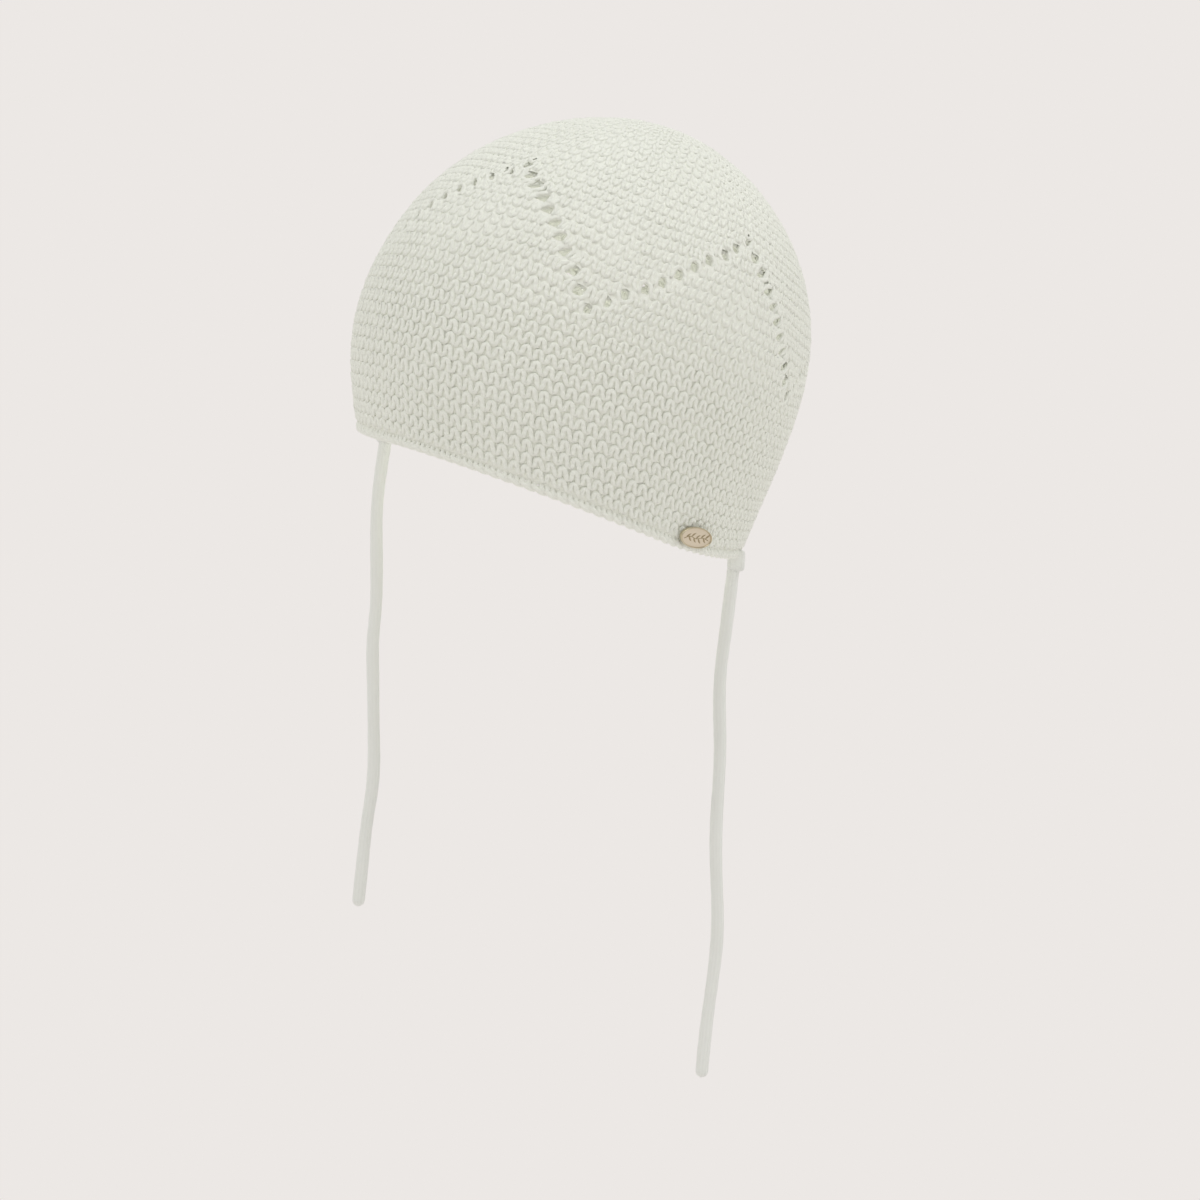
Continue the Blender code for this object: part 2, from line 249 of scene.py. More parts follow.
def grid_uv(rows, columns, wrap_rows, lengths):
    """UV corners of the same quads: how far along the path, and the share of the way round."""
    row = np.arange(rows if wrap_rows else rows - 1)[:, None]
    column = np.arange(columns)[None, :]
    here, there = lengths[row], lengths[row + 1]
    left, right = column / columns, (column + 1) / columns
    corners = ((here, left), (here, right), (there, right), (there, left))
    flat = [np.stack(np.broadcast_arrays(*pair), -1) for pair in corners]
    return np.stack(flat, -2).reshape(-1, 4, 2)

def end_caps(rows, columns):
    """Fans of triangles that close a grid of rings. Their two tips are the points that follow
    the grid's own: the first tip closes the first ring, and the second one the last ring."""
    side = np.arange(columns)
    after = (side + 1) % columns
    tip, last = rows * columns, (rows - 1) * columns
    return np.concatenate((
        np.stack((np.full(columns, tip), after, side), -1),
        np.stack((np.full(columns, tip + 1), last + side, last + after), -1),
    ))

def add_mesh(name, points, quads, uv, look, triangles=None):
    """A smooth object from arrays of points, quads and UV corners, and triangles for caps."""
    mesh = bpy.data.meshes.new(name)
    mesh.vertices.add(len(points))
    mesh.vertices.foreach_set("co", np.ascontiguousarray(points, np.float32).ravel())
    corners = quads.ravel()
    starts = np.arange(len(quads)) * 4
    if triangles is not None:
        starts = np.concatenate((starts, len(corners) + np.arange(len(triangles)) * 3))
        corners = np.concatenate((corners, triangles.ravel()))
        uv = np.concatenate((uv.reshape(-1, 2), np.zeros((triangles.size, 2))))
    mesh.loops.add(len(corners))
    mesh.loops.foreach_set("vertex_index", corners.astype(np.int32))
    mesh.polygons.add(len(starts))
    mesh.polygons.foreach_set("loop_start", starts.astype(np.int32))
    mesh.update(calc_edges=True)
    layer = mesh.uv_layers.new(name="along_yarn")
    layer.data.foreach_set("uv", np.ascontiguousarray(uv, np.float32).ravel())
    mesh.shade_smooth()
    mesh.materials.append(look)
    made = bpy.data.objects.new(name, mesh)
    bpy.context.scene.collection.objects.link(made)
    return made

def add_capped(name, rings, tips, lengths, look):
    """A closed form from rings of points, from the first to the last, and its two tips."""
    rows, columns = rings.shape[:2]
    points = np.concatenate((rings.reshape(-1, 3), tips))
    quads = grid_faces(rows, columns, False, 0)
    uv = grid_uv(rows, columns, False, lengths)
    return add_mesh(name, points, quads, uv, look, end_caps(rows, columns))

def carry_section(path, out, half_width, half_depth, sides, closed):
    """A section carried along a path. At each point the tangent runs from the point before to
    the point after, one axis of the section lies across it in the fabric, and the other one
    stands on the fabric; the section is an oval of these two half sizes."""
    if closed:
        tangent = np.roll(path, -1, 0) - np.roll(path, 1, 0)
    else:
        tangent = np.gradient(path, axis=0)
    tangent = unit(tangent)
    across = unit(np.cross(tangent, out))
    proud = np.cross(across, tangent)
    angle = 2.0 * math.pi * np.arange(sides) / sides
    half_width = np.asarray(half_width, float).reshape(-1, 1, 1)
    half_depth = np.asarray(half_depth, float).reshape(-1, 1, 1)
    return (
        path[:, None]
        - across[:, None] * np.cos(angle)[None, :, None] * half_width
        + proud[:, None] * np.sin(angle)[None, :, None] * half_depth
    )

# %% [markdown]
# ## Shader maths that reads like maths
#
# A material is a graph of nodes, and a graph written node by node is hard to read. This small
# class wraps one output socket. Adding, multiplying or comparing two of them adds the Math
# node for it, so a pattern can be written as a formula. Everything that isn't plain maths is
# made by one method, add, which takes the node's type, its settings and its inputs.

# %% The class for sockets
class Wire:
    """One output socket of a material's graph."""

    def __init__(self, tree, socket):
        self.tree = tree
        self.socket = socket

    def maths(self, operation, *others):
        """This operation on the wire and the other values or wires."""
        node = self.tree.nodes.new("ShaderNodeMath")
        node.operation = operation
        for place, value in zip(node.inputs, (self, *others)):
            if isinstance(value, Wire):
                self.tree.links.new(value.socket, place)
            else:
                place.default_value = value
        return Wire(self.tree, node.outputs[0])

    def flipped(self, operation, other):
        """The operation with a number in front of the wire."""
        node = self.tree.nodes.new("ShaderNodeMath")
        node.operation = operation
        node.inputs[0].default_value = other
        self.tree.links.new(self.socket, node.inputs[1])
        return Wire(self.tree, node.outputs[0])

    def __add__(self, other):
        return self.maths("ADD", other)

    def __radd__(self, other):
        return self.maths("ADD", other)

    def __sub__(self, other):
        return self.maths("SUBTRACT", other)

    def __rsub__(self, other):
        return self.flipped("SUBTRACT", other)

    def __mul__(self, other):
        return self.maths("MULTIPLY", other)

    def __rmul__(self, other):
        return self.maths("MULTIPLY", other)

    def __truediv__(self, other):
        return self.maths("DIVIDE", other)

    def __rtruediv__(self, other):
        return self.flipped("DIVIDE", other)

    def sine(self):
        return self.maths("SINE")

class Finish:
    """A material, with its graph and its Principled BSDF."""

    def __init__(self, name, **settings):
        self.material = bpy.data.materials.new(name)
        self.material.use_nodes = True
        self.tree = self.material.node_tree
        self.shader = self.tree.nodes["Principled BSDF"]
        for socket, value in settings.items():
            self.shader.inputs[socket.replace("_", " ")].default_value = value

    def add(self, kind, output, settings=None, **inputs):
        """A node of this kind. settings are its own values, and inputs are values or wires."""
        node = self.tree.nodes.new(kind)
        for key, value in (settings or {}).items():
            setattr(node, key, value)
        for key, value in inputs.items():
            socket = node.inputs[int(key[1:]) if key[1:].isdigit() else key.replace("_", " ")]
            if isinstance(value, Wire):
                self.tree.links.new(value.socket, socket)
            else:
                socket.default_value = value
        return Wire(self.tree, node.outputs[output])

    def feed(self, socket, wire):
        """Link a wire to a socket of the shader."""
        self.tree.links.new(wire.socket, self.shader.inputs[socket])

    def blend(self, amount, first, second):
        """A colour between two colours."""
        kind = {"data_type": "RGBA"}
        return self.add("ShaderNodeMix", 2, kind, _0=amount, _6=first, _7=second)

# %% [markdown]
# ## Cotton yarn
#
# Cotton is matt and a little fuzzy: it scatters light instead of mirroring it, with a faint
# sheen at its edges. The yarn is plied, so fine grooves wind round it, and the colour is
# painted darker in them as shade. They follow the yarn, not the hat, so they are read from the
# UV map: U is the way along the yarn and V the share of the way round it. A slow noise over the
# whole hat shifts the cream a little. Painted pictures could do the same, but formulas stay
# sharp however near the camera comes.

# %% The finish of the yarn
CREAM = (0.905, 0.920, 0.850, 1.0)
# darker cream: the random clouds and fibres reach towards it, and so does the painted shade in the
# ply grooves
CREAM_SHADE = (0.875, 0.890, 0.812, 1.0)
PLY_PITCH = 0.0024         # how far along the yarn a groove winds once round
PLIES = 3.0
FIBRE_SCALE = 2600.0       # of the noise that stands for single fibres

def uv_wires(finish):
    """The two numbers of the UV map, as wires: the way along, and the share of the way round."""
    place = finish.add("ShaderNodeUVMap", 0, {"uv_map": "along_yarn"})
    split = finish.add("ShaderNodeSeparateXYZ", 0, _0=place).socket.node
    return Wire(finish.tree, split.outputs[0]), Wire(finish.tree, split.outputs[1])

def cloth_noises(finish, cloud_scale):
    """Fine fibres and slow clouds over the whole piece, as wires."""
    place = finish.add("ShaderNodeTexCoord", 3)
    fibre = finish.add("ShaderNodeTexNoise", 0, Vector=place, Scale=FIBRE_SCALE, Detail=3.0)
    cloud = finish.add("ShaderNodeTexNoise", 0, Vector=place, Scale=cloud_scale, Detail=2.0)
    return fibre, cloud

def cotton_finish(name, plies=True):
    """Cream cotton: a colour from clouds and fibres, and a height from fibres. Where it is a
    yarn, a sine of the way along and the way round adds the winding plies to both: grooves in
    the height, and painted shade that darkens those grooves in the colour."""
    finish = Finish(name, Roughness=0.93, Sheen_Weight=0.12, Sheen_Roughness=0.5)
    fibre, cloud = cloth_noises(finish, 55.0)
    tone_and_painted_shade = cloud * 0.7 + fibre * 0.5 - 0.1
    height = fibre * 0.8
    if plies:
        along, round_it = uv_wires(finish)
        winding = (along * (2.0 * math.pi / PLY_PITCH) + round_it * (2.0 * math.pi * PLIES)).sine()
        # painted shade: the colour darkens where the grooves between the plies lie
        tone_and_painted_shade = tone_and_painted_shade + winding * 0.12
        height = height + winding * 0.5
    finish.feed("Base Color", finish.blend(tone_and_painted_shade, CREAM_SHADE, CREAM))
    bump = finish.add("ShaderNodeBump", 0, Height=height, Strength=0.35, Distance=0.0003)
    finish.feed("Normal", bump)
    return finish

yarn_look = cotton_finish("cream_cotton_yarn").material
print("finish", yarn_look.name, "with", len(yarn_look.node_tree.nodes), "nodes")

# %% [markdown]
# ## How garter stitch is built
#
# A knitter works round and round. Each course is one yarn that waves up and down: a loop's
# foot, its two legs and its head, then the next foot. In garter stitch the courses change
# sides in turn: one course has its heads on the outside and its feet inside, and the next one
# has its feet outside and its heads inside. Where the heads of one course and the feet of the
# next meet on the outside they form a ridge: arches up and arches down that lock together.
#
# So the path of a yarn needs three formulas of one angle, which runs once round for each
# stitch: the way along is the angle itself plus a swing that widens heads and feet, the way
# up is a cosine, and the depth goes from one face to the other, with a flat top, so that an
# arch lies fully above the legs that it crosses.

# %% Sizes of the knitting
STITCHES = 22              # stitches of a course in one repeat, below the crown
YARN_HALF_WIDTH = 0.00094
YARN_HALF_DEPTH = 0.00074
SIDES = 5                  # corners of the yarn's section
LOOP_HALF_HEIGHT = 0.630   # in ridges, from the middle of a course to the tops of its heads
LOOP_SWING = 0.090         # in stitches, how much wider than a plain wave heads and feet are
DEPTH_SWING = 0.00095      # from the middle of the fabric to the middle of an outer arch
FLAT_FROM = 0.15           # share of the height where a leg leaves the middle of the fabric
FLAT_AT = 0.70             # and where it reaches its face
EASE = 1                   # passes that ease the bends of the yarn round an eyelet
TIP_DIP = 0.60             # share of the swing that the tips of the arches dip back
TIP_POWER = 6              # of the height: how close to the tips that dip stays
STITCH_WANDER = 0.030      # how uneven the loops are along the course, in stitches
RIDGE_WANDER = 0.024       # up it, in ridges
DEPTH_WANDER = 0.00008     # and in their depth
COURSE_LOW = -0.21         # in ridges: middle of the course with outer heads, from its ridge
COURSE_HIGH = 0.21         # and of the course with outer feet
ARM_STITCHES = 1.1         # stitches that an arm of the zigzag moves sideways for each ridge
# degrees of a loop where its path has a point: closer together on the arch that lies outside
HEAD_OUT_ANGLES = np.radians((0, 50, 90, 120, 150, 180, 210, 240, 270, 310))
FEET_OUT_ANGLES = np.radians((0, 30, 60, 90, 130, 180, 230, 270, 300, 330))

# %% [markdown]
# ## The zigzag of eyelets
#
# An eyelet is made on purpose: the knitter lays the yarn over the needle, which adds a loop
# with no stitch under it, and knits two others together, so the count stays the same. When
# this is done a step further to the side on each ridge, the holes draw a slanting line, and
# five Vs of such lines make the star. The holes could be cut out of the finished mesh, but
# yarn isn't cut, it parts. So a table holds the oval that the yarns round each hole keep free.

# %% Where the eyelets are
LEFT_ARM_HOLE = (0.0048, 0.00205, -1.0)      # half length, half height and tilt of the oval
RIGHT_ARM_HOLE = (0.0033, 0.00205, -22.0)    # through the middles of the yarns round a hole
RIGHT_ARM_GROWTH = 0.00007                   # half length that each step up that arm adds
LOW_HOLE = (0.0032, 0.00200, -8.0)           # at the bottom of the V
TIP_HOLE = (0.0027, 0.00180, 0.0)
PEAK_GAPS = ((1.0, 0.72), (2.0, 0.62), (3.0, 0.52))    # ridges above a peak, share of the size
# share of the height of the left and the right arm's holes, for each repeat round the hat:
# a knitter's hand is never quite even, and the hat is stretched a little to one side
OPENNESS = ((1.0, 1.0), (1.12, 1.0), (1.0, 1.0), (1.0, 1.0), (1.0, 0.80))

def eyelet_table():
    """A row for each eyelet: its degrees round the hat from the front V, its ridge, its half
    length, half height and tilt. The arms leave the bottom of a V and meet the next V's."""
    rows = []
    peak = ARM_STITCHES * LACE_STEPS
    for repeat, (left, right) in enumerate(OPENNESS):
        holes = [(0.0, 0.0, LOW_HOLE, 1.0, 1.0), (peak, LACE_STEPS, TIP_HOLE, 1.0, 1.0)]
        for step in range(1, LACE_STEPS):
            wider = 1.0 + step * RIGHT_ARM_GROWTH / RIGHT_ARM_HOLE[0]
            holes.append((-ARM_STITCHES * step, step, LEFT_ARM_HOLE, 1.0, left))
            holes.append((ARM_STITCHES * step, step, RIGHT_ARM_HOLE, wider, right))
        for up, share in PEAK_GAPS:
            holes.append((peak, LACE_STEPS + up, TIP_HOLE, share, share))
        for stitch, up, (length, height, tilt), longer, higher in holes:
            turn = 360.0 / REPEATS * (repeat + stitch / STITCHES)
            rows.append((turn, V_RIDGE + up, length * longer, height * higher, tilt))
    return np.array(rows)

eyelets = eyelet_table()
print(len(eyelets), "eyelets and small gaps")

# %% [markdown]
# ## Keeping the eyelets between the stitches
#
# An eyelet must open between stitches, never in the middle of a strand. The arms of the V
# move by a broken number of stitches for each ridge, so each ridge is stretched or squeezed a
# little between its two arms: the nearest gap of the fabric then lands on the eyelet.

# %% Stitches counted along a course, and their turn round the hat
LEAST_GAP = 0.01           # keeps divisions away from nought where the arms meet

def nearest_gap(step):
    """The gap of the plain fabric next to an arm: gaps lie half a stitch apart."""
    return np.round(2.0 * ARM_STITCHES * step) / 2.0

def arm_stretch(stitch, ridge):
    """Moves stitches counted from the middle of a V so that the gap next to each arm lies on
    it: a straight line inside the V, and another one outside."""
    half = STITCHES / 2.0
    step = np.clip(ridge - V_RIDGE, 0.0, LACE_STEPS)
    low = np.floor(step)
    gap = nearest_gap(low) + (step - low) * (nearest_gap(low + 1.0) - nearest_gap(low))
    arm = ARM_STITCHES * step
    inside = stitch * np.where(gap > LEAST_GAP, arm / np.maximum(gap, LEAST_GAP), 1.0)
    outer_share = (half - np.abs(stitch)) / np.maximum(half - gap, LEAST_GAP)
    outside = np.sign(stitch) * (half - outer_share * (half - arm))
    return np.where(np.abs(stitch) <= gap, inside, outside)

def stitch_turn(stitch, count, ridge):
    """Turn of a place counted in stitches round the whole course, from the first V."""
    each = count / REPEATS
    repeat = np.round(stitch / each)
    inner = stitch - repeat * each
    if count == STITCHES * REPEATS:
        inner = arm_stretch(inner, ridge)
    return V_TURN + 360.0 / REPEATS * (repeat + inner / each)

# %% [markdown]
# ## A fabric that has been worn
#
# Knitting gives way wherever it is pulled, so the real zigzag isn't straight: its bottom hangs
# lower, its left arm bulges upwards and its right tip stands higher. A short list of places
# says how far the fabric has moved there, and between them the moves fade softly into each
# other. It could be sculpted by hand, but then a change of a size would lose the work. The
# rows next to the hem are squeezed upwards, so that no loop hangs out under the solid's edge.

# %% Where the fabric is pulled out of its even pattern
PULLS = np.array((         # stitches and ridges above the V's bottom, moves along and up
    (0.0, 0, 0.0, -0.5), (-4.0, 4, -0.1, 0.5), (-8.0, 7, 0.1, 0.4), (-11.0, 10, -0.5, 0.0),
    (4.0, 3, 0.1, -0.3), (8.0, 7, -0.2, 0.3), (11.0, 10, 0.7, 0.9), (15.0, 7, 0.9, 0.3),
    (19.0, 3, 0.5, 0.1), (22.0, 0, 0.2, -0.3), (-16.0, 6, -0.6, 0.5), (-13.0, 8, -0.5, -0.2),
))
PULL_REACH = 2.3           # stitches and ridges over which a pull dies away
PULL_CALM = 0.2            # weight of standing still against the rows of the table
STITCH_TURN = 360.0 / (REPEATS * STITCHES)

def pulled(turn, ridge):
    """Moves places like the nearest rows of the table: each row counts by a bell curve of its
    distance, and far from all of them nothing moves."""
    stitch = wrapped(turn - V_TURN) / STITCH_TURN
    weight = np.exp(
        -((stitch[:, None] - PULLS[:, 0]) ** 2 + (ridge[:, None] - V_RIDGE - PULLS[:, 1]) ** 2)
        / (2.0 * PULL_REACH**2)
    )
    total = weight.sum(1) + PULL_CALM
    return (
        turn + STITCH_TURN * (weight @ PULLS[:, 2]) / total,
        ridge + (weight @ PULLS[:, 3]) / total,
    )

# %% The squeezed rows above the hem
HEM_LIFT = 0.66            # ridges that the lowest loops move up
HEM_REACH = 3.0            # ridges above the hem where that ends

def squeezed(ridge):
    """Lifts the rows next to the hem, so that their yarn ends at the edge of the fabric."""
    near = np.clip((HEM_REACH - ridge) / (HEM_REACH + HEM_LIFT), 0.0, 1.0)
    return ridge + HEM_LIFT * near**2

# %% Room for the eyelets
PUSH_POWER = 2.6           # the higher, the closer to an eyelet its push stays
PUSH_RIDGES = 2.6          # an eyelet pushes within so many ridges of its middle
PUSH_LENGTH = 0.012        # and within this length along the row
LEAST_DISTANCE = 0.02      # nothing lies closer to the middle of an eyelet, in half sizes

def degree_length(ridge):
    """Length of one degree round the hat at this ridge."""
    return 2.0 * math.pi * ring_radius(ridge) / 360.0

def oval_distance(x, y, half_length, half_height, tilt):
    """Distance from the middle of a tilted oval, in its half sizes, for places x along the row
    and y up the fabric."""
    c, s = math.cos(math.radians(tilt)), math.sin(math.radians(tilt))
    return np.hypot((c * x + s * y) / half_length, (c * y - s * x) / half_height)

def open_eyelets(turn, ridge):
    """Pushes places away from the eyelets. In the fabric's own plane an eyelet is a tilted
    oval of size one; a place at distance r from its middle goes to the root of r^p + 1."""
    degree = degree_length(ridge)
    for round_by, level, *oval in eyelets:
        away = wrapped(turn - V_TURN - round_by)
        near = (np.abs(ridge - level) < PUSH_RIDGES) & (np.abs(away) * degree < PUSH_LENGTH)
        if not near.any():
            continue
        x, y = away[near] * degree[near], (ridge[near] - level) * RIDGE_PITCH
        r = np.maximum(oval_distance(x, y, *oval), LEAST_DISTANCE)
        grow = (r**PUSH_POWER + 1.0) ** (1.0 / PUSH_POWER) / r - 1.0
        turn[near] += grow * x / degree[near]
        ridge[near] += grow * y / RIDGE_PITCH
    return turn, ridge

# %% One course of yarn
def flat_topped(height):
    """From -1 to 1 like the height, but nought near the middle, nearly flat on each face and
    dipping a little at the tips, which rounds the ridge."""
    share = np.clip((np.abs(height) - FLAT_FROM) / (FLAT_AT - FLAT_FROM), 0.0, 1.0)
    dip = 1.0 - TIP_DIP * np.abs(height) ** TIP_POWER
    return np.sign(height) * share**2 * (3.0 - 2.0 * share) * dip

def course_path(middle, count, heads_out):
    """Path of the yarn of one course, with the outward direction at each point. Feet and heads
    wander a little by themselves, and a foot is shared by the loops that it joins."""
    angles = HEAD_OUT_ANGLES if heads_out else FEET_OUT_ANGLES
    loop = np.arange(count)[:, None]
    uneven = rng.normal(0.0, 1.0, (6, count, 1))
    following = np.roll(uneven, -1, axis=1)
    headness = (1.0 - np.cos(angles)) / 2.0
    foot = np.where(angles < math.pi, uneven[:3], following[:3]) * (1.0 - headness)
    head = uneven[3:] * headness
    wander = foot + head
    stitch = loop + angles / (2.0 * math.pi) + LOOP_SWING * np.sin(2.0 * angles)
    stitch = stitch + STITCH_WANDER * wander[0]
    height = -np.cos(angles)
    ridge = middle + LOOP_HALF_HEIGHT * height + RIDGE_WANDER * wander[1]
    side = 1.0 if heads_out else -1.0
    depth = side * DEPTH_SWING * flat_topped(height) + DEPTH_WANDER * wander[2]
    stitch, ridge, depth = (np.broadcast_to(each, (count, len(angles))).ravel()
                            for each in (stitch, ridge, depth))
    turn = stitch_turn(stitch, count, ridge)
    moves = np.stack(open_eyelets(turn.copy(), ridge.copy())) - (turn, ridge)
    for _ in range(EASE):
        moves = (np.roll(moves, 1, 1) + 2.0 * moves + np.roll(moves, -1, 1)) / 4.0
    turn, ridge = turn + moves[0], ridge + moves[1]
    turn, ridge = pulled(turn, squeezed(ridge))
    here, _, upwards, out = hat_frame(leaned(turn, ridge), ridge)
    sunk = DEPTH_SWING + YARN_HALF_DEPTH
    below = np.minimum(ridge, 0.0) * RIDGE_PITCH
    return here + upwards * below[:, None] + out * (depth - sunk)[:, None], out

# %% [markdown]
# ## Knitting the hat
#
# The courses are stacked two to a ridge. Above the tips of the zigzag the hat narrows: every
# second ridge loses two stitches in each of its five repeats, where the gaps above the tips
# are, and so the star closes. Near the top the stitches may not get narrower than the yarn,
# so the last courses have only a few. Each course is one closed ring of yarn, and the rings of
# a band are joined into one mesh, because thousands of separate objects would be slow.

# %% The plan of the courses
FIRST_RIDGE = V_RIDGE - 15     # the bottom of the V lies on a ridge of its own
LAST_RIDGE = 43
NARROWEST = 0.0025         # least width of a stitch

def stitch_count(ridge):
    """Stitches of a course at this ridge: full below the zigzag's tips, then fewer."""
    above = ridge - (V_RIDGE + LACE_STEPS)
    each = STITCHES if above < 0.5 else STITCHES - 2 * int((above + 1.0) / 2.0)
    most = int(2.0 * math.pi * float(ring_radius(ridge)) / (REPEATS * NARROWEST))
    return REPEATS * max(1, min(each, most))

def course_plan():
    """A row for each course: middle of the course, stitches, and whether its heads are out.
    The first one would lie under the hem, where the cast-on edge is instead."""
    plan = []
    ridge = FIRST_RIDGE
    while ridge < LAST_RIDGE + 0.5:
        plan.append((ridge + COURSE_LOW, stitch_count(ridge), True))
        plan.append((ridge + COURSE_HIGH, stitch_count(ridge), False))
        ridge += 1.0
    return plan[1:]

plan = course_plan()
print(len(plan), "courses and", sum(count for _, count, _ in plan), "stitches")

# %% Rings of yarn into one mesh
def rings_mesh(name, made, look):
    """One mesh of several closed rings of yarn."""
    points, quads, uv, first = [], [], [], 0
    for rings, path in made:
        steps = np.linalg.norm(np.roll(path, -1, 0) - path, axis=1)
        lengths = np.concatenate(([0.0], np.cumsum(steps)))
        sides = rings.shape[1]
        points.append(rings.reshape(-1, 3))
        quads.append(grid_faces(len(path), sides, True, first))
        uv.append(grid_uv(len(path), sides, True, lengths))
        first += len(path) * sides
    piece = add_mesh(name, np.concatenate(points), np.concatenate(quads), np.concatenate(uv), look)
    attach(piece, BODY)
    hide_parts("hat_knit")
    return piece

# %% Bands of yarn
BANDS = 6

def knit_band(name, courses):
    """One mesh of all the rings of yarn of a band."""
    made = []
    for middle, count, heads_out in courses:
        path, out = course_path(middle, count, heads_out)
        rings = carry_section(path, out, YARN_HALF_WIDTH, YARN_HALF_DEPTH, SIDES, True)
        made.append((rings, path))
    return rings_mesh(name, made, yarn_look)

total = sum(count for _, count, _ in plan)
band, done, bands = [], 0, []
for course in plan:
    band.append(course)
    done += course[1]
    if done >= total * (len(bands) + 1) / BANDS or course is plan[-1]:
        bands.append(knit_band("knit_band_%d" % (len(bands) + 1), band))
        band = []
print([len(piece.data.polygons) * 2 for piece in bands], "triangles in the bands")

# %% [markdown]
# ## The edge of the hem and the top of the crown
#
# Knitting starts from a cast-on edge: two strands that twist round each other once for every
# two stitches, and hold the feet of the first course. It makes the hem firm and nearly straight.
# At the top the last stitches are drawn together by one strand, which ends as a small ring.

# %% Twisted strands
STRAND_SIDES = 6
EDGE_TURNS = 55            # one turn for two stitches
EDGE_STEPS = EDGE_TURNS * 12
EDGE_RIDGE = 0.30
EDGE_DEPTH = 0.0015        # of the middle of the two strands, below the outer face
EDGE_WIND = 0.00050        # how far a strand's middle lies from the line that it winds round
EDGE_HALF = 0.00090
TOP_RINGS = ((43.55, 0.0011), (44.05, 0.0015))     # ridge and depth of each ring
TOP_TURNS = 5
TOP_STEPS = 30
TOP_WIND = 0.00015
TOP_HALF_WIDTH = 0.00095
TOP_HALF_DEPTH = 0.0009

def twisted_strand(ridge, depth, turns, phase, wind, half_width, half_depth, steps):
    """Points and path of a strand that winds round a line along the row."""
    angle = np.linspace(0.0, 2.0 * math.pi * turns, steps, endpoint=False)
    turn = V_TURN + 360.0 * np.arange(steps) / steps
    level = np.full(steps, ridge)
    here, _, upwards, out = hat_frame(leaned(turn, level), level)
    wave = np.stack((np.cos(angle + phase), np.sin(angle + phase)), -1) * wind
    path = here + upwards * wave[:, :1] + out * (wave[:, 1:] - depth)
    return carry_section(path, out, half_width, half_depth, STRAND_SIDES, True), path

edge = rings_mesh("cast_on_edge", [
    twisted_strand(EDGE_RIDGE, EDGE_DEPTH, EDGE_TURNS, phase, EDGE_WIND, EDGE_HALF, EDGE_HALF,
                   EDGE_STEPS)
    for phase in (0.0, math.pi)
], yarn_look)
crown = rings_mesh("drawn_top", [
    twisted_strand(ridge, depth, TOP_TURNS, 0.0, TOP_WIND, TOP_HALF_WIDTH, TOP_HALF_DEPTH,
                   TOP_STEPS)
    for ridge, depth in TOP_RINGS
], yarn_look)
for piece in (edge, crown):
    print(piece.name, "has", len(piece.data.vertices), "points")

# %% [markdown]
# ## The matted middle of the fabric
#
# Between its two faces the real fabric is full: legs cross there and stray fibres fill what
# is left, so the small gaps between the loops are shallow. A closed skin of two faces stands
# for that middle. Its grid needs no holes of its own: every point stores how far it is from
# the nearest eyelet, in half sizes of its oval, and where that is under a limit the finish is
# clear. Near the crown the stitches crowd, so the layer lies closer to the face there.

# %% The middle layer
MIDDLE_DEPTH = (0.00120, 0.00240)      # its two faces, below the outer face of the fabric
TOP_DEPTH = 0.00084                    # its outer face near the crown, where stitches crowd
CROWD_RIDGES = 8.0                     # ridges round the V's bottom where it rises to that
MIDDLE_FROM = 0.30                     # ridge where the layer starts
MIDDLE_SHORT = 0.6                     # ridges that it ends below the middle of the crown
MIDDLE_CLEAR = 0.80                    # half sizes round an eyelet where it is clear
FAR_AWAY = 9.0                         # half sizes that stand for every larger distance
PLAIN_STEP = 0.001                     # UV step where the finish doesn't read the UV map
MIDDLE_COLUMNS = 330
MIDDLE_ROWS = 89

def eyelet_distance(turn, ridge):
    """Distance to the nearest eyelet, in half sizes of its oval."""
    degree = degree_length(ridge)
    nearest = np.full(turn.shape, FAR_AWAY)
    for round_by, level, *oval in eyelets:
        x = wrapped(turn - V_TURN - round_by) * degree
        nearest = np.minimum(nearest, oval_distance(x, (ridge - level) * RIDGE_PITCH, *oval))
    return nearest

def middle_layer():
    """Up the outer face of the layer and down its inner face, as one grid closed both ways."""
    level = np.linspace(MIDDLE_FROM, RIDGES - MIDDLE_SHORT, MIDDLE_ROWS)
    ridge = np.concatenate((level, level[::-1]))[:, None]
    depth = np.repeat(MIDDLE_DEPTH, MIDDLE_ROWS)[:, None]
    rise = np.clip((ridge - V_RIDGE) / CROWD_RIDGES + 0.5, 0.0, 1.0)
    depth = np.where(depth == MIDDLE_DEPTH[0], depth + (TOP_DEPTH - depth) * rise, depth)
    turn = V_TURN + 360.0 * np.arange(MIDDLE_COLUMNS)[None, :] / MIDDLE_COLUMNS
    turn, ridge, depth = (each.ravel() for each in np.broadcast_arrays(turn, ridge, depth))
    distance = eyelet_distance(turn, ridge)
    turn, ridge = pulled(turn, squeezed(ridge))
    here, _, _, out = hat_frame(leaned(turn, ridge), ridge)
    points = here - out * depth[:, None]
    rows = 2 * MIDDLE_ROWS
    quads = grid_faces(rows, MIDDLE_COLUMNS, True, 0)
    uv = grid_uv(rows, MIDDLE_COLUMNS, True, np.arange(rows + 1) * PLAIN_STEP)
    look = cotton_finish("matted_cotton", plies=False)
    open_place = look.add("ShaderNodeAttribute", 2, {"attribute_name": "eyelet_distance"})
    look.feed("Alpha", open_place.maths("GREATER_THAN", MIDDLE_CLEAR))
    made = add_mesh("matted_middle", points, quads, uv, look.material)
    layer = made.data.attributes.new("eyelet_distance", "FLOAT", "POINT")
    layer.data.foreach_set("value", distance.astype(np.float32))
    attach(made, BODY)
    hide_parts("hat_knit")
    return made

middle = middle_layer()
print(len(middle.data.polygons) * 2, "triangles in the middle layer")

